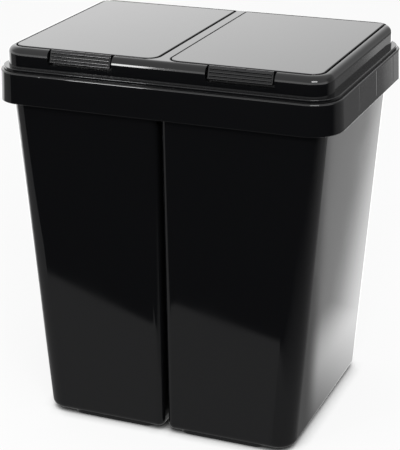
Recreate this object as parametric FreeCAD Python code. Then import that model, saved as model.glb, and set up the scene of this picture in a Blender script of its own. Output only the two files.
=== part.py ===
import FreeCAD, Part
import os

from FreeCAD import Vector

# Double recycling bin: one moulding with two tubs under a common rim, a lift-off lid frame, two
# flaps hinged at the back of the frame, and a ribbed latch hanging from the front of each flap.
# Millimetres. X to the right, Y to the back, Z up. The origin is on the floor under the middle.

# Rim of the double tub: a skirt turned down round both tubs
RIM_WIDTH = 480.0  # over the lower edge of the skirt
RIM_DEPTH = 338.0
RIM_TOP_Z = 499.0
SKIRT_HEIGHT = 42.0
SKIRT_FLARE = 1.8  # the skirt leans out by this much at its lower edge
RIM_CORNER_RADIUS = 40.0
RIM_EDGE_RADIUS = 2.0
SKIRT_LIP_RADIUS = 1.0
TUB_WALL = 2.6
SKIRT_RIB_THICKNESS = 1.6
SKIRT_RIB_INSET = 4.0  # the ribs stop this far above the lower edge of the skirt
FRONT_RIB_X = 163.0
SIDE_RIB_FIRST_Y = -58.0
SIDE_RIB_PITCH = 77.0
SIDE_RIB_COUNT = 3

# The two tubs, at the shelf under the rim and at the floor
MOUTH_INSET_X = 13.0  # flat top of the rim, from its outer edge to the mouth
MOUTH_INSET_Y = 10.5
MOUTH_HEIGHT = 15.6
SHELF_STEP = 5.7  # the tub is narrower than its mouth by this much at the outer side
TUB_TAPER_X = 37.9  # the tub's outer side leans in by this much from the shelf to the floor
TUB_TAPER_Y = 3.9
TUB_OUTER_RADIUS = 30.0
TUB_OUTER_FLOOR_RADIUS = 27.0
TUB_INNER_RADIUS = 10.0
TUB_FLOOR_EDGE_RADIUS = 8.0
GROOVE_HALF_TOP = 2.5  # half the gap between the tubs
GROOVE_HALF_FLOOR = 3.0

# Foot rim under each tub
FOOT_HEIGHT = 4.5
FOOT_WALL = 4.0
FOOT_INSET_OUTER = 40.0
FOOT_INSET_INNER = 16.5
FOOT_INSET_Y = 5.0
FOOT_RADIUS = 14.0

# Lid frame
LID_HEIGHT = 31.0  # above the rim
LID_WALL = 2.4
LID_DRAFT = 0.4
LID_EDGE_RADIUS = 10.0
LEDGE_WIDTH = 4.2  # rim left bare round the flange
FLANGE_WIDTH = 7.2
FLANGE_HEIGHT = 4.1
FLANGE_EDGE_RADIUS = 0.8
SEAT_GAP = 0.3
RING_DEPTH = 10.0  # locating ring, down into each mouth
RING_WALL = 2.2
RING_CLEARANCE = 0.5

# Flaps and the recesses that they lie in
DIVIDER_WIDTH = 14.0
TOP_MARGIN_X = 10.9  # from the frame's side to the recess
TOP_MARGIN_Y = 10.2
FLAP_GAP = 2.2
FLAP_PROUD = 0.8  # the flap's top lies this far above the frame's
FLAP_BACK_RADIUS = 8.0
RECESS_RADIUS = 18.0
RECESS_BACK_RADIUS = 5.5
RECESS_EDGE = 0.8
FLAP_PLATE = 2.6
FLAP_SKIRT_WALL = 2.2
FLAP_SKIRT_DEPTH = 5.5
FLAP_EDGE_RADIUS = 1.2
LEDGE_REACH = 8.5
HINGE_RADIUS = 4.4
HINGE_STUB_RADIUS = 2.5
HINGE_RUNNING_FIT = 0.05
HINGE_STUB_END_GAP = 0.4
HINGE_CHANNEL_CLEARANCE = 0.8

# Latches
LATCH_WIDTH = 86.5
LATCH_SIDE_GAP = 3.2
LATCH_BARREL_RADIUS = 2.6
LATCH_REACH = 6.2  # how far the grip face leans out on its way down
LATCH_HEIGHT = 16.6
LATCH_THICKNESS = 3.0
LATCH_LIP_RADIUS = 1.5
LATCH_RIB_RADIUS = 2.0
LATCH_RIB_COUNT = 3
LATCH_RIB_END = 1.5
LATCH_RIB_PROUD = 1.0
FINGER_GAP = 3.0
KNUCKLE_WIDTH = 12.0
KNUCKLE_PROUD = 0.3
KNUCKLE_CLEARANCE = 0.4
PIN_RADIUS = 1.3
PIN_LENGTH = 2.6
PIN_RUNNING_FIT = 0.05

# Heights and places that follow from the sizes above
SKIRT_LOW_Z = RIM_TOP_Z - SKIRT_HEIGHT
SHELF_Z = RIM_TOP_Z - MOUTH_HEIGHT
TUB_FLOOR_Z = FOOT_HEIGHT
LID_TOP_Z = RIM_TOP_Z + LID_HEIGHT
FLAP_TOP_Z = LID_TOP_Z + FLAP_PROUD
FLAP_LOW_Z = LID_TOP_Z - FLAP_SKIRT_DEPTH
FLANGE_LOW_Z = RIM_TOP_Z + SEAT_GAP
FLANGE_TOP_Z = FLANGE_LOW_Z + FLANGE_HEIGHT
LEDGE_Z = FLAP_LOW_Z - SEAT_GAP
BEYOND = 5.0  # cutting tools reach this far past the faces that they open


class Outline:
    """A rounded rectangle seen from above; radii run front left, front right, back right, back left."""

    def __init__(self, x0, x1, y0, y1, radii):
        self.x0, self.x1, self.y0, self.y1 = x0, x1, y0, y1
        self.radii = list(radii) if isinstance(radii, (list, tuple)) else [radii] * 4

    def grown(self, step):
        """The parallel outline further out by step, or further in where step is negative."""
        radii = [max(radius + step, 0.5) for radius in self.radii]
        return Outline(self.x0 - step, self.x1 + step, self.y0 - step, self.y1 + step, radii)

    def wire(self, z):
        """The outline as a closed wire at height z, in straight lines and quarter arcs."""
        front_left, front_right, back_right, back_left = self.radii
        corners = [
            (self.x1 - front_right, self.y0 + front_right, front_right, 270),
            (self.x1 - back_right, self.y1 - back_right, back_right, 0),
            (self.x0 + back_left, self.y1 - back_left, back_left, 90),
            (self.x0 + front_left, self.y0 + front_left, front_left, 180),
        ]
        arcs = []
        for centre_x, centre_y, radius, start in corners:
            centre = Vector(centre_x, centre_y, z)
            arcs.append(Part.makeCircle(radius, centre, Vector(0, 0, 1), start, start + 90))
        edges = []
        for index, arc in enumerate(arcs):
            following = arcs[(index + 1) % len(arcs)]
            edges.append(arc)
            edges.append(Part.makeLine(arc.lastVertex().Point, following.firstVertex().Point))
        return Part.Wire(edges)

    def prism(self, z0, z1):
        """The outline as an upright block from z0 to z1."""
        return Part.Face(self.wire(z0)).extrude(Vector(0, 0, z1 - z0))


def drafted(lower, z0, upper, z1):
    """A block whose walls run straight from one outline to another."""
    return Part.makeLoft([lower.wire(z0), upper.wire(z1)], True, True)


def between(low, high, share):
    """The value a share of the way from low to high."""
    return low + (high - low) * share


def block(x0, x1, y0, y1, z0, z1):
    """A square-edged box between two corners."""
    return Part.makeBox(x1 - x0, y1 - y0, z1 - z0, Vector(x0, y0, z0))


def rod(radius, x0, x1, y, z):
    """A round bar along X."""
    return Part.makeCylinder(radius, x1 - x0, Vector(x0, y, z), Vector(1, 0, 0))


def edges_at(shape, z):
    """The edges of a shape that lie level at height z."""
    level = []
    for edge in shape.Edges:
        box = edge.BoundBox
        if abs(box.ZMin - z) < 0.001 and abs(box.ZMax - z) < 0.001:
            level.append(edge)
    return level


def mirrored(shape):
    """The same shape on the other side of the middle plane."""
    return shape.mirror(Vector(0, 0, 0), Vector(1, 0, 0))


# ---------------------------------------------------------------- the double tub
RIM_TOP = Outline(
    SKIRT_FLARE - RIM_WIDTH / 2, RIM_WIDTH / 2 - SKIRT_FLARE,
    SKIRT_FLARE - RIM_DEPTH / 2, RIM_DEPTH / 2 - SKIRT_FLARE, RIM_CORNER_RADIUS)
MOUTH_OUTER_RADIUS = RIM_CORNER_RADIUS - MOUTH_INSET_X
MOUTH = Outline(
    GROOVE_HALF_TOP + TUB_WALL, RIM_TOP.x1 - MOUTH_INSET_X,
    RIM_TOP.y0 + MOUTH_INSET_Y, RIM_TOP.y1 - MOUTH_INSET_Y,
    [TUB_INNER_RADIUS, MOUTH_OUTER_RADIUS, MOUTH_OUTER_RADIUS, TUB_INNER_RADIUS])
TUB_SHELF_X = MOUTH.x1 + TUB_WALL - SHELF_STEP
TUB_SHELF_Y = MOUTH.y1 + TUB_WALL


def tub_outline(z):
    """The outside of the right-hand tub at height z."""
    share = (z - TUB_FLOOR_Z) / (SHELF_Z - TUB_FLOOR_Z)
    half_depth = between(TUB_SHELF_Y - TUB_TAPER_Y, TUB_SHELF_Y, share)
    outer_radius = between(TUB_OUTER_FLOOR_RADIUS, TUB_OUTER_RADIUS, share)
    return Outline(
        between(GROOVE_HALF_FLOOR, GROOVE_HALF_TOP, share),
        between(TUB_SHELF_X - TUB_TAPER_X, TUB_SHELF_X, share),
        -half_depth, half_depth, [TUB_INNER_RADIUS, outer_radius, outer_radius, TUB_INNER_RADIUS])


def tub_shell():
    """The outside of one tub with its collar at the mouth, still solid."""
    tub = drafted(tub_outline(TUB_FLOOR_Z), TUB_FLOOR_Z, tub_outline(SHELF_Z), SHELF_Z)
    tub = tub.makeFillet(TUB_FLOOR_EDGE_RADIUS, edges_at(tub, TUB_FLOOR_Z))
    return tub.fuse(MOUTH.grown(TUB_WALL).prism(SHELF_Z, RIM_TOP_Z))


def tub_cavity():
    """The inside of one tub, from its floor to above its mouth."""
    low_z = TUB_FLOOR_Z + TUB_WALL
    high_z = SHELF_Z + TUB_WALL
    low = tub_outline(low_z).grown(-TUB_WALL)
    high = tub_outline(high_z).grown(-TUB_WALL)
    cavity = drafted(low, low_z, high, high_z)
    cavity = cavity.makeFillet(TUB_FLOOR_EDGE_RADIUS - TUB_WALL, edges_at(cavity, low_z))
    return cavity.fuse(MOUTH.prism(high_z, RIM_TOP_Z + BEYOND))


def foot_rim():
    """The low ring that one tub stands on."""
    floor = tub_outline(TUB_FLOOR_Z)
    outer = Outline(
        floor.x0 + FOOT_INSET_INNER, floor.x1 - FOOT_INSET_OUTER,
        floor.y0 + FOOT_INSET_Y, floor.y1 - FOOT_INSET_Y, FOOT_RADIUS)
    top_z = TUB_FLOOR_Z + TUB_WALL / 2
    ring = outer.prism(0, top_z)
    return ring.cut(outer.grown(-FOOT_WALL).prism(-BEYOND, TUB_FLOOR_Z))


def rim_solid():
    """The outside of the rim and its skirt, still solid."""
    rim = drafted(RIM_TOP.grown(SKIRT_FLARE), SKIRT_LOW_Z, RIM_TOP, RIM_TOP_Z)
    rim = rim.makeFillet(RIM_EDGE_RADIUS, edges_at(rim, RIM_TOP_Z))
    return rim.makeFillet(SKIRT_LIP_RADIUS, edges_at(rim, SKIRT_LOW_Z))


def rib_blanks():
    """Upright ribs that join the skirt to the tubs, before they are trimmed to the rim."""
    half = SKIRT_RIB_THICKNESS / 2
    low_z = SKIRT_LOW_Z + SKIRT_RIB_INSET
    inner_y = TUB_SHELF_Y - TUB_WALL / 2
    inner_x = TUB_SHELF_X - SHELF_STEP / 2 - TUB_WALL / 2
    ribs = []
    for x in (-FRONT_RIB_X, FRONT_RIB_X):
        ribs.append(block(x - half, x + half, -RIM_DEPTH, -inner_y, low_z, RIM_TOP_Z - TUB_WALL / 2))
        ribs.append(block(x - half, x + half, inner_y, RIM_DEPTH, low_z, RIM_TOP_Z - TUB_WALL / 2))
    for index in range(SIDE_RIB_COUNT):
        y = SIDE_RIB_FIRST_Y + index * SIDE_RIB_PITCH
        ribs.append(block(inner_x, RIM_WIDTH, y - half, y + half, low_z, RIM_TOP_Z - TUB_WALL / 2))
        ribs.append(block(-RIM_WIDTH, -inner_x, y - half, y + half, low_z, RIM_TOP_Z - TUB_WALL / 2))
    return ribs


def double_tub():
    """Two tubs, their common rim with its turned-down skirt, and their foot rims, in one moulding."""
    rim = rim_solid()
    under_z = RIM_TOP_Z - TUB_WALL
    hollow_low = RIM_TOP.grown(SKIRT_FLARE - TUB_WALL)
    share = (under_z - SKIRT_LOW_Z) / SKIRT_HEIGHT
    hollow_top = RIM_TOP.grown(between(SKIRT_FLARE, 0, share) - TUB_WALL)
    body = rim.cut(drafted(hollow_low, SKIRT_LOW_Z, hollow_top, under_z))
    for rib in rib_blanks():
        body = body.fuse(rib.common(rim))
    shell = tub_shell().fuse(foot_rim())
    body = body.fuse([shell, mirrored(shell)])
    cavity = tub_cavity()
    return body.cut([cavity, mirrored(cavity)]).removeSplitter()


# ---------------------------------------------------------------- the lid frame
FLANGE = RIM_TOP.grown(-LEDGE_WIDTH)
LID_LOW = FLANGE.grown(-FLANGE_WIDTH)
LID_TOP = LID_LOW.grown(-LID_DRAFT)
RECESS = Outline(
    DIVIDER_WIDTH / 2, LID_TOP.x1 - TOP_MARGIN_X, LID_TOP.y0 + TOP_MARGIN_Y, LID_TOP.y1 - TOP_MARGIN_Y,
    [RECESS_RADIUS, RECESS_RADIUS, RECESS_BACK_RADIUS, RECESS_BACK_RADIUS])
FLAP_FRONT_RADIUS = RECESS_RADIUS - FLAP_GAP
FLAP = Outline(
    RECESS.x0 + FLAP_GAP, RECESS.x1 - FLAP_GAP, RECESS.y0 + FLAP_GAP, RECESS.y1 - FLAP_GAP,
    [FLAP_FRONT_RADIUS, FLAP_FRONT_RADIUS, FLAP_BACK_RADIUS, FLAP_BACK_RADIUS])
HINGE_Y = FLAP.y1 - HINGE_RADIUS
HINGE_Z = FLAP_TOP_Z - HINGE_RADIUS
CHANNEL_Y0 = HINGE_Y - HINGE_RADIUS - HINGE_CHANNEL_CLEARANCE
CHANNEL_Z = HINGE_Z - HINGE_RADIUS - HINGE_CHANNEL_CLEARANCE
OPENING = Outline(
    RECESS.x0 + LEDGE_REACH, RECESS.x1 - LEDGE_REACH, RECESS.y0 + LEDGE_REACH, CHANNEL_Y0 - LID_WALL,
    RECESS_RADIUS - LEDGE_REACH)
LATCH_X = (FLAP.x0 + FLAP.x1) / 2
LATCH_Y = RECESS.y0 - LATCH_BARREL_RADIUS
LATCH_Z = FLAP_TOP_Z - LATCH_BARREL_RADIUS
POCKET_X0 = LATCH_X - LATCH_WIDTH / 2 - LATCH_SIDE_GAP
POCKET_X1 = LATCH_X + LATCH_WIDTH / 2 + LATCH_SIDE_GAP
POCKET_Z = FLAP_TOP_Z - LATCH_HEIGHT - FINGER_GAP


def lid_outside():
    """The upper part of the frame, with its rounded top edge, still solid."""
    lid = drafted(LID_LOW, FLANGE_LOW_Z, LID_TOP, LID_TOP_Z)
    return lid.makeFillet(LID_EDGE_RADIUS, edges_at(lid, LID_TOP_Z))


def lid_inside():
    """The space under the frame's top and inside its walls."""
    top_z = LID_TOP_Z - LID_WALL
    space = drafted(LID_LOW.grown(-LID_WALL), FLANGE_LOW_Z, LID_TOP.grown(-LID_WALL), top_z)
    return space.makeFillet(LID_EDGE_RADIUS - LID_WALL, edges_at(space, top_z))


def tray():
    """Walls and ledge round the right-hand recess, with the lower channel for the flap's hinge."""
    outer = RECESS.grown(LID_WALL)
    under_top_z = LID_TOP_Z - LID_WALL / 2
    walls = outer.prism(LEDGE_Z - LID_WALL, under_top_z)
    channel_low_z = CHANNEL_Z - LID_WALL
    trough = outer.prism(channel_low_z, under_top_z).common(
        block(outer.x0, outer.x1, CHANNEL_Y0 - LID_WALL, outer.y1, channel_low_z, LEDGE_Z))
    return walls.fuse(trough)


def tray_space():
    """What the flap needs: its recess with an eased edge, the hinge channel, the way in, the sockets."""
    seat = RECESS.prism(LEDGE_Z, LID_TOP_Z + BEYOND)
    ease = drafted(RECESS, LID_TOP_Z - RECESS_EDGE, RECESS.grown(RECESS_EDGE), LID_TOP_Z)
    channel = RECESS.prism(CHANNEL_Z, LID_TOP_Z).common(
        block(RECESS.x0, RECESS.x1, CHANNEL_Y0, RECESS.y1, CHANNEL_Z, LID_TOP_Z))
    way_in = OPENING.prism(FLANGE_LOW_Z, LID_TOP_Z)
    sockets = rod(
        HINGE_STUB_RADIUS + HINGE_RUNNING_FIT, RECESS.x0 - LID_WALL, RECESS.x1 + LID_WALL, HINGE_Y, HINGE_Z)
    return seat.fuse([ease, channel, way_in, sockets])


def pocket_walls():
    """Back, floor and ends of the pocket in the frame's front wall that the right-hand latch hangs in."""
    return block(
        POCKET_X0 - LID_WALL, POCKET_X1 + LID_WALL, LID_LOW.y0, RECESS.y0, POCKET_Z - LID_WALL, LID_TOP_Z)


def pocket_space():
    """The inside of that pocket, open to the front and at the top, and to the recess above its ledge."""
    front_y = LID_LOW.y0 - BEYOND
    top_z = LID_TOP_Z + BEYOND
    hollow = block(POCKET_X0, POCKET_X1, front_y, RECESS.y0 - LID_WALL, POCKET_Z, top_z)
    return hollow.fuse(block(POCKET_X0, POCKET_X1, front_y, RECESS.y0 + BEYOND, LEDGE_Z, top_z))


def locating_rings():
    """The flange, open over both mouths, with a ring reaching down into each of them."""
    ring_low_z = RIM_TOP_Z - RING_DEPTH
    ring_out = MOUTH.grown(-RING_CLEARANCE)
    ring_in = ring_out.grown(-RING_WALL)
    flange = FLANGE.prism(FLANGE_LOW_Z, FLANGE_TOP_Z)
    flange = flange.makeFillet(FLANGE_EDGE_RADIUS, edges_at(flange, FLANGE_TOP_Z))
    ring = ring_out.prism(ring_low_z, FLANGE_TOP_Z)
    through = ring_in.prism(ring_low_z - BEYOND, FLANGE_TOP_Z + BEYOND)
    half = RECESS.x0 - LID_WALL
    slot = block(-half, half, LID_LOW.y0 + LID_WALL, LID_LOW.y1 - LID_WALL, ring_low_z, FLANGE_TOP_Z)
    solid = flange.fuse([ring, mirrored(ring)])
    return solid.cut([through, mirrored(through), slot])


def divider_web():
    """The upright web under the divider's right-hand edge, from the flange to the top."""
    return block(
        RECESS.x0 - LID_WALL, RECESS.x0, LID_LOW.y0, LID_LOW.y1, FLANGE_LOW_Z, LID_TOP_Z - LID_WALL / 2)


def lid_frame():
    """The lift-off frame: flange, hollow upper part, a tray and a latch pocket for each flap."""
    outside = lid_outside()
    frame = outside.cut(lid_inside())
    right_tray = tray().fuse([pocket_walls(), divider_web()]).common(outside)
    frame = frame.fuse([right_tray, mirrored(right_tray), locating_rings()])
    space = tray_space().fuse(pocket_space())
    return frame.cut([space, mirrored(space)]).removeSplitter()


# ---------------------------------------------------------------- flaps and latches
def flap():
    """The right-hand flap: a plate with a turned-down edge, hinge barrel, stubs and latch knuckle."""
    plate = FLAP.prism(FLAP_LOW_Z, FLAP_TOP_Z)
    plate = plate.makeFillet(FLAP_EDGE_RADIUS, edges_at(plate, FLAP_TOP_Z))
    under = FLAP.grown(-FLAP_SKIRT_WALL)
    under.y1 = HINGE_Y - HINGE_RADIUS
    plate = plate.cut(under.prism(FLAP_LOW_Z - BEYOND, FLAP_TOP_Z - FLAP_PLATE))
    plate = plate.cut(block(FLAP.x0, FLAP.x1, HINGE_Y, FLAP.y1, FLAP_LOW_Z, FLAP_TOP_Z))
    full = FLAP.prism(HINGE_Z - HINGE_RADIUS, FLAP_TOP_Z)
    barrel = rod(HINGE_RADIUS, FLAP.x0, FLAP.x1, HINGE_Y, HINGE_Z).common(full)
    reach = LID_WALL - HINGE_STUB_END_GAP
    stubs = rod(HINGE_STUB_RADIUS, RECESS.x0 - reach, RECESS.x1 + reach, HINGE_Y, HINGE_Z)
    return plate.fuse([barrel, stubs, knuckle()]).cut(knuckle_bore()).removeSplitter()


def knuckle():
    """The ear at the middle of the flap's front edge that carries the latch."""
    radius = LATCH_BARREL_RADIUS + KNUCKLE_PROUD
    x0 = LATCH_X - KNUCKLE_WIDTH / 2
    x1 = LATCH_X + KNUCKLE_WIDTH / 2
    ear = rod(radius, x0, x1, LATCH_Y, LATCH_Z)
    neck = block(x0, x1, LATCH_Y, FLAP.y0 + FLAP_SKIRT_WALL, FLAP_LOW_Z, FLAP_TOP_Z - FLAP_EDGE_RADIUS)
    return ear.fuse(neck)


def knuckle_bore():
    """The hole through the ear for the latch's two pins."""
    half = KNUCKLE_WIDTH / 2 + BEYOND
    return rod(PIN_RADIUS + PIN_RUNNING_FIT, LATCH_X - half, LATCH_X + half, LATCH_Y, LATCH_Z)


def latch():
    """The right-hand latch: a barrel under the frame's top edge, a ribbed grip face and a finger lip."""
    x0 = LATCH_X - LATCH_WIDTH / 2
    x1 = LATCH_X + LATCH_WIDTH / 2
    barrel = rod(LATCH_BARREL_RADIUS, x0, x1, LATCH_Y, LATCH_Z)
    low_z = FLAP_TOP_Z - LATCH_HEIGHT
    top = Vector(x0, LATCH_Y - LATCH_BARREL_RADIUS * 0.8, LATCH_Z + LATCH_BARREL_RADIUS * 0.6)
    lip = Vector(x0, LATCH_Y - LATCH_REACH, low_z + LATCH_LIP_RADIUS)
    face = [
        top,
        Vector(x0, lip.y, lip.z + LATCH_LIP_RADIUS),
        Vector(x0, lip.y, low_z),
        Vector(x0, lip.y + LATCH_THICKNESS, low_z),
        Vector(x0, LATCH_Y, LATCH_Z - LATCH_BARREL_RADIUS),
        Vector(x0, LATCH_Y, LATCH_Z),
    ]
    plate = Part.Face(Part.makePolygon(face + [face[0]])).extrude(Vector(LATCH_WIDTH, 0, 0))
    parts = [plate, rod(LATCH_LIP_RADIUS, x0, x1, lip.y, lip.z)]
    foot = face[1]
    for index in range(LATCH_RIB_COUNT):
        share = (index + 0.5) / LATCH_RIB_COUNT
        y = between(top.y, foot.y, share) + LATCH_RIB_RADIUS - LATCH_RIB_PROUD
        z = between(top.z, foot.z, share)
        parts.append(rod(LATCH_RIB_RADIUS, x0 + LATCH_RIB_END, x1 - LATCH_RIB_END, y, z))
    solid = barrel.fuse(parts)
    room = LATCH_BARREL_RADIUS + KNUCKLE_PROUD + KNUCKLE_CLEARANCE
    half = KNUCKLE_WIDTH / 2 + KNUCKLE_CLEARANCE
    solid = solid.cut(block(
        LATCH_X - half, LATCH_X + half, LATCH_Y - room, LATCH_Y + room, LATCH_Z - room, LATCH_Z + room))
    inner = half - PIN_LENGTH
    outer = half + PIN_LENGTH
    pins = [
        rod(PIN_RADIUS, LATCH_X + inner, LATCH_X + outer, LATCH_Y, LATCH_Z),
        rod(PIN_RADIUS, LATCH_X - outer, LATCH_X - inner, LATCH_Y, LATCH_Z),
    ]
    return solid.fuse(pins).removeSplitter()


def export(shape, name):
    """Write one piece to its own file, after a check that it is a single sound solid."""
    if shape.ShapeType != "Solid":
        shape = shape.Solids[0] if len(shape.Solids) == 1 else shape
    print(name, "solids", len(shape.Solids), "valid", shape.isValid(), "volume", round(shape.Volume))
    shape.exportStep(os.path.join("parts", name + ".step"))


def main():
    os.makedirs("parts", exist_ok=True)
    right_flap = flap()
    right_latch = latch()
    export(double_tub(), "double_tub")
    export(lid_frame(), "lid_frame")
    export(right_flap, "right_flap")
    export(mirrored(right_flap), "left_flap")
    export(right_latch, "right_latch")
    export(mirrored(right_latch), "left_latch")


main()
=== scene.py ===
"""Looks of the double recycling bin: gloss black mouldings, their fine shapes, and a plain white studio.

Everything is in metres in the part's own frame: +X to the right, +Y to the back, +Z up, the origin on
the floor under the middle of the bin.
"""

import logging
import math
from collections.abc import Callable
from dataclasses import dataclass, field
from enum import Enum

import bpy
from mathutils import Matrix, Vector


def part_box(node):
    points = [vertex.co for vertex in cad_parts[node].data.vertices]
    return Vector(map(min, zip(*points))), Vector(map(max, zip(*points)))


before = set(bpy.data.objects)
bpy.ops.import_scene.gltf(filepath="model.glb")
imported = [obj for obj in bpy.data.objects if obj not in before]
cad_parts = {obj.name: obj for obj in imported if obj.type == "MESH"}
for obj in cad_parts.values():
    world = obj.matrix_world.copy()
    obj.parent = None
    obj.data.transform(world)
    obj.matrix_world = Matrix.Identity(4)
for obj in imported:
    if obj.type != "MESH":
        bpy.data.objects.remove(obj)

MM = 0.001
LOG = logging.getLogger("double_recycling_bin")
WHITE = (1.0, 1.0, 1.0, 1.0)


class Side(Enum):
    """The two halves of the bin, seen from the front; the value is the sign of X."""

    LEFT = -1
    RIGHT = 1

    def node(self, piece: str) -> str:
        """The CAD node of a piece of this half."""
        return f"{self.name.lower()}_{piece}"


# ---------------------------------------------------------------- node trees
class Graph:
    """A short hand for wiring the nodes of one material, world or light."""

    def __init__(self, tree: bpy.types.NodeTree) -> None:
        """Start from an empty tree.

        Args:
            tree: The node tree to fill.
        """
        self.tree = tree
        tree.nodes.clear()

    def add(self, kind: str, settings: dict | None = None, **inputs) -> bpy.types.Node:
        """Add one node and set or wire its inputs.

        Args:
            kind: The node's type name, without its ShaderNode prefix.
            settings: Properties of the node itself.
            **inputs: Values or output sockets by input name, with _ for a space, or by number as i0, i1.

        Returns:
            The new node.
        """
        node = self.tree.nodes.new("ShaderNode" + kind)
        for name, value in (settings or {}).items():
            setattr(node, name, value)
        for name, value in inputs.items():
            is_number = name[0] == "i" and name[1:].isdigit()
            socket = node.inputs[int(name[1:])] if is_number else node.inputs[name.replace("_", " ")]
            if isinstance(value, bpy.types.NodeSocket):
                self.tree.links.new(value, socket)
            else:
                socket.default_value = value
        return node

    def math(self, operation: str, *values) -> bpy.types.NodeSocket:
        """The result of a Math node on one to three values or sockets."""
        inputs = {f"i{index}": value for index, value in enumerate(values)}
        return self.add("Math", {"operation": operation}, **inputs).outputs[0]

    def ramp(self, value: bpy.types.NodeSocket, low: float, high: float,
             to_low: float = 0.0, to_high: float = 1.0) -> bpy.types.NodeSocket:
        """A smooth step of a value from one range to another."""
        node = self.add("MapRange", {"interpolation_type": "SMOOTHSTEP"}, Value=value,
                        From_Min=low, From_Max=high, To_Min=to_low, To_Max=to_high)
        return node.outputs[0]

    def noise(self, place: bpy.types.NodeSocket, scale: float, detail: float) -> bpy.types.NodeSocket:
        """The height of a noise pattern at a place."""
        node = self.add("TexNoise", Vector=place, Scale=scale, Detail=detail)
        return node.outputs["Fac"]

    def glow(self, kind: str, strength: float | bpy.types.NodeSocket) -> bpy.types.NodeSocket:
        """The shader of a white Emission or Background node."""
        return self.add(kind, Color=WHITE, Strength=strength).outputs[0]

    def mix(self, share: float | bpy.types.NodeSocket, first: bpy.types.NodeSocket,
            second: bpy.types.NodeSocket) -> bpy.types.NodeSocket:
        """Two shaders mixed; at a share of 1 only the second shows."""
        return self.add("MixShader", i0=share, i1=first, i2=second).outputs[0]


Relief = Callable[[Graph, bpy.types.NodeSocket], bpy.types.NodeSocket]


# ---------------------------------------------------------------- finishes
@dataclass(frozen=True)
class Mottle:
    """Patches where a face is rougher or smoother, from a noise pattern.

    Attributes:
        scale: Patches per metre.
        detail: How many finer layers the noise has.
        zone: Height of the noise where a patch starts, and where it is full.
        roughness: Roughness over the face's mean, outside the patches and in them.
    """

    scale: float
    detail: float
    zone: tuple[float, float]
    roughness: tuple[float, float]

    def offset(self, graph: Graph, place: bpy.types.NodeSocket) -> bpy.types.NodeSocket:
        """How much rougher than its mean the face is at a place."""
        return graph.ramp(graph.noise(place, self.scale, self.detail), *self.zone, *self.roughness)


@dataclass(frozen=True)
class MouldedGloss:
    """Gloss black polypropylene as it leaves a polished mould.

    Attributes:
        name: The material's name.
        colour: Linear base colour.
        roughness: Mean roughness of the polished face.
        waviness: Depth in metres of the broad unevenness of the wall.
        wave_scale: Waves of that unevenness per metre.
        grain: Depth in metres of the fine skin.
        grain_scale: Grains of that skin per metre.
        handling: Clouds left by handling.
        specks: Fine specks.
        edge: Width in metres of the worn strip along each edge.
        wear: How much rougher that strip is.
        wear_zone: Cosine of the eased normal's turn where that strip starts, and where it is fully worn.
        index: Refractive index.
    """

    name: str
    colour: tuple[float, float, float] = (0.0032, 0.0033, 0.0037)
    roughness: float = 0.07
    waviness: float = 0.016 * MM
    wave_scale: float = 9.0
    grain: float = 0.0012 * MM
    grain_scale: float = 900.0
    handling: Mottle = Mottle(scale=14.0, detail=4.0, zone=(0.35, 0.75), roughness=(-0.012, 0.02))
    specks: Mottle = Mottle(scale=260.0, detail=2.0, zone=(0.4, 0.8), roughness=(-0.004, 0.008))
    edge: float = 0.7 * MM
    wear: float = 0.16
    wear_zone: tuple[float, float] = (0.999, 0.90)
    index: float = 1.5

    def height(self, graph: Graph, place: bpy.types.NodeSocket) -> bpy.types.NodeSocket:
        """Height in metres of the skin over the ideal face.

        Args:
            graph: The material's graph.
            place: The place on the piece, in its own coordinates.

        Returns:
            The socket that carries the height.
        """
        broad = graph.math("MULTIPLY", graph.noise(place, self.wave_scale, 1.0), self.waviness)
        fine = graph.math("MULTIPLY", graph.noise(place, self.grain_scale, 3.0), self.grain)
        return graph.math("ADD", broad, fine)

    def worn(self, graph: Graph) -> bpy.types.NodeSocket:
        """How much a place is part of a handled edge, from 0 to 1.

        Args:
            graph: The material's graph.

        Returns:
            The socket that carries the share.
        """
        eased = graph.add("Bevel", {"samples": 6}, Radius=self.edge).outputs[0]
        flat = graph.add("NewGeometry").outputs["Normal"]
        same = graph.add("VectorMath", {"operation": "DOT_PRODUCT"}, i0=eased, i1=flat).outputs["Value"]
        return graph.ramp(same, *self.wear_zone)

    def roughness_map(self, graph: Graph, place: bpy.types.NodeSocket) -> bpy.types.NodeSocket:
        """Roughness: clouds left by handling, fine specks and the worn edges.

        Args:
            graph: The material's graph.
            place: The place on the piece, in its own coordinates.

        Returns:
            The socket that carries the roughness.
        """
        mottled = graph.math("ADD", self.handling.offset(graph, place), self.specks.offset(graph, place))
        worn = graph.math("MULTIPLY", self.worn(graph), self.wear)
        return graph.math("ADD", mottled, graph.math("ADD", worn, self.roughness))

    def material(self, relief: Relief | None = None) -> bpy.types.Material:
        """Make the material.

        Args:
            relief: Adds a piece's own shallow relief, such as sink marks, to the skin.

        Returns:
            A node material that reads only the piece's own coordinates.
        """
        material = bpy.data.materials.new(self.name)
        material.use_nodes = True
        graph = Graph(material.node_tree)
        place = graph.add("TexCoord").outputs["Object"]
        height = self.height(graph, place)
        if relief is not None:
            height = graph.math("ADD", height, relief(graph, place))
        bump = graph.add("Bump", Strength=1.0, Distance=1.0, Height=height)
        shader = graph.add("BsdfPrincipled", Base_Color=(*self.colour, 1.0), IOR=self.index,
                           Roughness=self.roughness_map(graph, place), Normal=bump.outputs[0])
        graph.add("OutputMaterial", Surface=shader.outputs[0])
        return material


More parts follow.
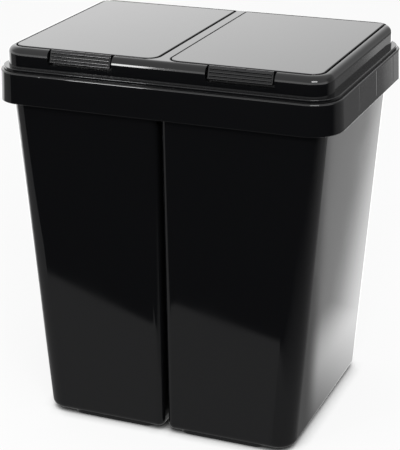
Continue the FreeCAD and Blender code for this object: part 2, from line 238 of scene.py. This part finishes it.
# ---------------------------------------------------------------- the bin's pieces
def dress(node: str, finish: MouldedGloss, relief: Relief | None = None) -> bpy.types.Object:
    """Give a moulding whose shape comes whole from the construction its finish.

    Args:
        node: The CAD node.
        finish: Its finish.
        relief: Its own shallow relief, if it has one.

    Returns:
        The dressed object.
    """
    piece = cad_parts[node]
    piece.data.materials.clear()
    piece.data.materials.append(finish.material(relief))
    LOG.info("%s: %d faces, finish %s", node, len(piece.data.polygons), finish.name)
    return piece


@dataclass
class DoubleTub:
    """The two tubs under their common rim, with the sink marks of the ribs behind the skirt.

    Attributes:
        node: The CAD node.
        rib_x: Distance of the front and back ribs from the middle plane.
        side_rib_y: Places of the ribs along each side.
        rib_low: The ribs start this far above the skirt's lower edge.
        skirt_height: Height of the skirt.
        skirt_zone: The marks lie within this distance of the rim's outer faces.
        sink_width: Half the width of one mark.
        sink_depth: Its depth.
    """

    node: str = "double_tub"
    rib_x: float = 163.0 * MM
    side_rib_y: tuple[float, ...] = (-58.0 * MM, 19.0 * MM, 96.0 * MM)
    rib_low: float = 4.0 * MM
    skirt_height: float = 42.0 * MM
    skirt_zone: float = 4.0 * MM
    sink_width: float = 3.5 * MM
    sink_depth: float = 0.05 * MM

    def sink_marks(self, graph: Graph, place: bpy.types.NodeSocket) -> bpy.types.NodeSocket:
        """Shallow upright dents where a rib joins the back of the skirt.

        Args:
            graph: The material's graph.
            place: The place on the piece.

        Returns:
            The socket that carries the height, zero or less.
        """
        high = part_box(self.node)[1]
        axes = graph.add("SeparateXYZ", Vector=place)
        x, y, z = (axes.outputs[name] for name in "XYZ")
        beside, ahead = graph.math("ABSOLUTE", x), graph.math("ABSOLUTE", y)
        marks_low = high[2] - self.skirt_height + self.rib_low
        on_skirt = graph.ramp(z, marks_low, marks_low + self.rib_low)
        on_front = graph.math("GREATER_THAN", ahead, high[1] - self.skirt_zone)
        on_side = graph.math("GREATER_THAN", beside, high[0] - self.skirt_zone)
        marks = graph.math("MULTIPLY", self.dent(graph, beside, self.rib_x), on_front)
        for rib_y in self.side_rib_y:
            marks = graph.math("MULTIPLY_ADD", self.dent(graph, y, rib_y), on_side, marks)
        return graph.math("MULTIPLY", graph.math("MULTIPLY", marks, on_skirt), -self.sink_depth)

    def dent(self, graph: Graph, along: bpy.types.NodeSocket, centre: float) -> bpy.types.NodeSocket:
        """One soft groove across a coordinate, 1 in its middle and 0 outside."""
        distance = graph.math("ABSOLUTE", graph.math("SUBTRACT", along, centre))
        return graph.ramp(distance, self.sink_width, 0.0)

    def build(self) -> None:
        """Dress the tubs."""
        dress(self.node, MouldedGloss("tub_gloss"), self.sink_marks)


@dataclass
class LidFrame:
    """The lift-off frame."""

    node: str = "lid_frame"

    def build(self) -> None:
        """Dress the frame."""
        dress(self.node, MouldedGloss("frame_gloss"))


@dataclass
class FlapWithLatch:
    """One flap and the ribbed latch that hangs from its front edge.

    Attributes:
        side: The half of the bin that they belong to.
        latch_roughness: Mean roughness of the latch, whose fine ribs take a duller polish.
    """

    side: Side
    latch_roughness: float = 0.12

    def build(self) -> None:
        """Dress both pieces."""
        dress(self.side.node("flap"), MouldedGloss(self.side.node("flap_gloss")))
        ribbed = MouldedGloss(self.side.node("latch_gloss"), roughness=self.latch_roughness,
                              waviness=0.0, grain=0.0, wear=0.0)
        dress(self.side.node("latch"), ribbed)


# ---------------------------------------------------------------- studio
@dataclass(frozen=True)
class Line:
    """A straight line across the floor, which gives one coordinate from the other."""

    slope: float
    start: float

    def at(self, graph: Graph, along: bpy.types.NodeSocket) -> bpy.types.NodeSocket:
        """The line's value at a coordinate."""
        return graph.math("MULTIPLY_ADD", along, self.slope, self.start)


@dataclass(frozen=True)
class PaintedTableGlow:
    """A painted reflection: a lit white table under the bin, with painted light and shade, that glows
    only in the bin's gloss.

    Attributes:
        left_edge: Y of the front edge over X, left of its corner.
        right_edge: The same, right of its corner.
        corner_x: Place of that corner.
        soft_from: From this X on, the front edge blurs.
        soft_to: There it is fully blurred.
        edge_blur: Half the width of the blur, at the start and at the end.
        front_y: The painted light fades in from here towards the back.
        back_y: There it is full.
        front_level: How bright the front of the table is in its painted shade, against the back.
        bright_slope: How far the painted bright strip beside the bin leads to the right, per metre to the
            back.
        bright_least: It starts at least this far out.
        bright_from: Distance from there to the strip's bright side.
        bright_to: Distance to its dull side.
        bright_level: Its brightness at the bright side.
        dull_level: Its brightness at the dull side.
        painted_shade_line: X over Y of the line past which the table lies in painted shade.
        painted_shade_blur: Half the width of that line.
        painted_shade_level: Brightness in the painted shade.
    """

    left_edge: Line = Line(0.482, -0.387)
    right_edge: Line = Line(0.341, -0.493)
    corner_x: float = -0.156
    soft_from: float = 0.05
    soft_to: float = 0.60
    edge_blur: tuple[float, float] = (0.01, 0.50)
    front_y: float = -0.12
    back_y: float = 0.34
    front_level: float = 0.13
    bright_slope: float = 0.23
    bright_least: float = 0.074
    bright_from: float = 0.147
    bright_to: float = 0.212
    bright_level: float = 2.4
    dull_level: float = 0.7
    painted_shade_line: Line = Line(0.30, 0.205)
    painted_shade_blur: float = 0.01
    painted_shade_level: float = 0.25

    def on_table(self, graph: Graph, x: bpy.types.NodeSocket,
                 y: bpy.types.NodeSocket) -> bpy.types.NodeSocket:
        """Whether a place lies behind the table's front edge.

        Args:
            graph: The floor material's graph.
            x: The place's X.
            y: The place's Y.

        Returns:
            The socket that carries it, from 0 in front of the edge to 1 behind it.
        """
        left, right = self.left_edge.at(graph, x), self.right_edge.at(graph, x)
        is_right = graph.math("GREATER_THAN", x, self.corner_x)
        edge = graph.math("MULTIPLY_ADD", graph.math("SUBTRACT", right, left), is_right, left)
        blur = graph.ramp(x, self.soft_from, self.soft_to, *self.edge_blur)
        past_edge = graph.math("DIVIDE", graph.math("SUBTRACT", y, edge), blur)
        return graph.ramp(past_edge, -1.0, 1.0)

    def lit(self, graph: Graph, x: bpy.types.NodeSocket, y: bpy.types.NodeSocket) -> bpy.types.NodeSocket:
        """Painted light of the lit part: dull in front, a painted bright strip close beside the bin.

        Args:
            graph: The floor material's graph.
            x: The place's X.
            y: The place's Y.

        Returns:
            The socket that carries the brightness.
        """
        near_back = graph.ramp(y, self.front_y, self.back_y, self.front_level, 1.0)
        outwards = graph.math("MAXIMUM", graph.math("MULTIPLY", y, self.bright_slope), self.bright_least)
        beside = graph.ramp(graph.math("SUBTRACT", x, outwards), self.bright_from, self.bright_to,
                            self.bright_level, self.dull_level)
        return graph.math("MULTIPLY", near_back, beside)

    def glow(self, graph: Graph) -> bpy.types.NodeSocket:
        """The painted light and shade of each place of the table, as the bin's gloss shows it.

        Args:
            graph: The floor material's graph.

        Returns:
            The socket that carries the brightness.
        """
        axes = graph.add("SeparateXYZ", Vector=graph.add("TexCoord").outputs["Object"])
        x, y = axes.outputs["X"], axes.outputs["Y"]
        # Painted shade past this line, painted light before it.
        past_line = graph.math("SUBTRACT", x, self.painted_shade_line.at(graph, y))
        painted_light_share = graph.ramp(past_line, -self.painted_shade_blur, self.painted_shade_blur, 1.0, 0.0)
        extra = graph.math("SUBTRACT", self.lit(graph, x, y), self.painted_shade_level)
        painted_shade_glow = graph.math("ADD", self.painted_shade_level, graph.math("MULTIPLY", painted_light_share, extra))
        return graph.math("MULTIPLY", painted_shade_glow, self.on_table(graph, x, y))


@dataclass(frozen=True)
class Room:
    """The room round the bin, as the bin's gloss mirrors it.

    Attributes:
        overhead: Brightness overhead.
        horizon_glow: Brightness low over the horizon in front.
        horizon_z: Sine of the height where that glow ends, from full to none.
        backdrop: Brightness of the backdrop, at the left and at the right.
        backdrop_turn: Sine of the turn to the side between those two.
        backdrop_z: Sine of the height where the backdrop ends, from full to none.
        back_y: How far a direction points to the back where the backdrop starts, from none to full.
        least_level: The level part of a direction counts as at least this much, straight up and down.
    """

    overhead: float = 0.95
    horizon_glow: float = 2.0
    horizon_z: tuple[float, float] = (0.22, 0.30)
    backdrop: tuple[float, float] = (2.05, 0.45)
    backdrop_turn: tuple[float, float] = (-0.60, 0.35)
    backdrop_z: tuple[float, float] = (0.45, 0.85)
    back_y: tuple[float, float] = (-0.1, 0.3)
    least_level: float = 0.01

    def glow(self, graph: Graph) -> bpy.types.NodeSocket:
        """How bright each direction of the room looks in the bin's gloss.

        Args:
            graph: The world's graph.

        Returns:
            The socket that carries the brightness.
        """
        axes = graph.add("SeparateXYZ", Vector=graph.add("TexCoord").outputs["Generated"])
        x, y, z = (axes.outputs[name] for name in "XYZ")
        level = graph.math("SQRT", graph.math("SUBTRACT", 1.0, graph.math("MULTIPLY", z, z)))
        sideways = graph.math("DIVIDE", x, graph.math("MAXIMUM", level, self.least_level))
        backdrop = graph.ramp(sideways, *self.backdrop_turn, *self.backdrop)
        horizon = graph.ramp(z, *self.horizon_z, self.horizon_glow, self.overhead)
        is_back = graph.ramp(y, *self.back_y)
        low = graph.ramp(z, *self.backdrop_z, 1.0, 0.0)
        extra = graph.math("SUBTRACT", backdrop, self.overhead)
        behind = graph.math("MULTIPLY_ADD", extra, low, self.overhead)
        return graph.math("MULTIPLY_ADD", graph.math("SUBTRACT", behind, horizon), is_back, horizon)


@dataclass
class Lamp:
    """A rectangular soft lamp aimed at the bin.

    Attributes:
        name: The lamp's name.
        azimuth: Degrees round from the front, to the right.
        elevation: Degrees over the horizon.
        distance: Distance from the target.
        width: Width of its face.
        height: Height of its face.
        radiance: Brightness of its face.
        target: The place that it is aimed at.
    """

    name: str
    azimuth: float
    elevation: float
    distance: float
    width: float
    height: float
    radiance: float
    target: Vector = field(default_factory=lambda: Vector((0.0, 0.0, 0.3)))

    def place(self) -> bpy.types.Object:
        """Hang the lamp.

        Returns:
            The lamp object.
        """
        around, up = math.radians(self.azimuth), math.radians(self.elevation)
        back = Vector((math.sin(around) * math.cos(up), -math.cos(around) * math.cos(up), math.sin(up)))
        data = bpy.data.lights.new(self.name, "AREA")
        data.shape = "RECTANGLE"
        data.size, data.size_y = self.width, self.height
        data.energy = self.radiance * math.pi * self.width * self.height
        lamp = bpy.data.objects.new(self.name, data)
        lamp.location = self.target + back * self.distance
        lamp.rotation_euler = (-back).to_track_quat("-Z", "Y").to_euler()
        lamp.visible_camera = False
        bpy.context.scene.collection.objects.link(lamp)
        return lamp


@dataclass
class Studio:
    """White floor, plain soft light and the camera.

    Attributes:
        floor_half: Half the floor's length.
        paper_grey: How much light the paper sends back.
        paper_white: Share of white glow, with painted shade under the bin, in the paper that the camera
            sees.
        painted_shade_reach: How far the painted shade under the bin reaches.
        painted_shade_range: Openness at which that painted shade is full, and at which it ends.
        dome: Brightness of the plain dome that lights the bin.
        table: The painted light and shade of the table in reflections.
        room: The room in reflections.
        camera_place: The camera's place.
        camera_yaw: Degrees that it looks to the left of straight back.
        camera_pitch: Degrees that it looks down.
        camera_roll: Degrees that it is turned about its own axis.
        camera_lens: Focal length in millimetres.
        camera_sensor: Width of the sensor in millimetres.
    """

    floor_half: float = 6.0
    paper_grey: float = 0.9
    paper_white: float = 0.85
    painted_shade_reach: float = 35.0 * MM
    painted_shade_range: tuple[float, float] = (0.2, 0.72)
    dome: float = 0.75
    table: PaintedTableGlow = field(default_factory=PaintedTableGlow)
    room: Room = field(default_factory=Room)
    camera_place: Vector = field(default_factory=lambda: Vector((0.7540, -1.8309, 1.0242)))
    camera_yaw: float = 22.608
    camera_pitch: float = 21.294
    camera_roll: float = -0.603
    camera_lens: float = 119.46
    camera_sensor: float = 36.0

    def floor(self) -> bpy.types.Object:
        """Lay the floor.

        Returns:
            The floor, marked as stage.
        """
        half = self.floor_half
        corners = [(-half, -half, 0), (half, -half, 0), (half, half, 0), (-half, half, 0)]
        mesh = bpy.data.meshes.new("studio_floor")
        mesh.from_pydata(corners, [], [(0, 1, 2, 3)])
        floor = bpy.data.objects.new("studio_floor", mesh)
        bpy.context.scene.collection.objects.link(floor)
        floor.data.materials.append(self.floor_material())
        return floor

    def floor_material(self) -> bpy.types.Material:
        """White paper: nearly white with painted shade under the bin to the camera, painted light and
        shade to reflections.

        Returns:
            A node material that takes no part as a lamp.
        """
        material = bpy.data.materials.new("white_paper")
        material.use_nodes = True
        material.cycles.emission_sampling = "NONE"
        graph = Graph(material.node_tree)
        painted_shade_openness = graph.add("AmbientOcclusion", {"samples": 8}, Distance=self.painted_shade_reach).outputs["AO"]
        path = graph.add("LightPath").outputs
        grey = (self.paper_grey, self.paper_grey, self.paper_grey, 1.0)
        paper = graph.add("BsdfDiffuse", Color=grey).outputs[0]
        # Painted shade: the white glow that the camera sees darkens where ambient occlusion finds the bin
        # close by.
        white = graph.glow("Emission", graph.ramp(painted_shade_openness, *self.painted_shade_range))
        seen = graph.mix(self.paper_white, paper, white)
        # Painted reflection: to glossy rays the floor glows with the painted light and shade of a lit
        # table.
        mirrored = graph.glow("Emission", self.table.glow(graph))
        unseen = graph.mix(path["Is Glossy Ray"], paper, mirrored)
        graph.add("OutputMaterial", Surface=graph.mix(path["Is Camera Ray"], unseen, seen))
        return material

    def world(self) -> None:
        """White to the camera, a plain grey dome as light, a soft room in reflections."""
        world = bpy.data.worlds.new("studio")
        bpy.context.scene.world = world
        world.use_nodes = True
        world.cycles.sampling_method = "NONE"
        graph = Graph(world.node_tree)
        path = graph.add("LightPath").outputs
        dome = graph.glow("Background", self.dome)
        mirrored = graph.glow("Background", self.room.glow(graph))
        white = graph.glow("Background", 1.0)
        unseen = graph.mix(path["Is Glossy Ray"], dome, mirrored)
        graph.add("OutputWorld", Surface=graph.mix(path["Is Camera Ray"], unseen, white))

    def lamps(self) -> None:
        """A tall narrow lamp at the front left and a broad one at the front right."""
        key = Lamp("key_lamp", azimuth=-25.0, elevation=9.0, distance=2.2,
                   width=0.20, height=0.6, radiance=18.0)
        fill = Lamp("fill_lamp", azimuth=29.0, elevation=36.0, distance=2.4,
                    width=1.1, height=0.6, radiance=13.0)
        for lamp in (key, fill):
            lamp.place()

    def camera(self) -> bpy.types.Object:
        """Set up the camera at the photograph's viewing angle.

        Returns:
            The scene's camera.
        """
        data = bpy.data.cameras.new("camera")
        data.sensor_width = self.camera_sensor
        data.lens = self.camera_lens
        camera = bpy.data.objects.new("camera", data)
        camera.location = self.camera_place
        turn = Matrix.Rotation(math.radians(self.camera_yaw), 3, "Z")
        tilt = Matrix.Rotation(math.radians(90.0 - self.camera_pitch), 3, "X")
        roll = Matrix.Rotation(math.radians(self.camera_roll), 3, "Z")
        camera.rotation_euler = (turn @ tilt @ roll).to_euler()
        bpy.context.scene.collection.objects.link(camera)
        bpy.context.scene.camera = camera
        return camera

    def build(self) -> None:
        """Lay the floor, hang the lamps and set up the camera."""
        self.floor()
        self.world()
        self.lamps()
        self.camera()
        bpy.context.scene.view_settings.view_transform = "Standard"


def main() -> None:
    """Dress the bin and build the studio round it."""
    logging.basicConfig(level=logging.INFO, format="%(message)s")
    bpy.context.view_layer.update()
    DoubleTub().build()
    LidFrame().build()
    for side in Side:
        FlapWithLatch(side).build()
    Studio().build()


if __name__ == "__main__":
    main()
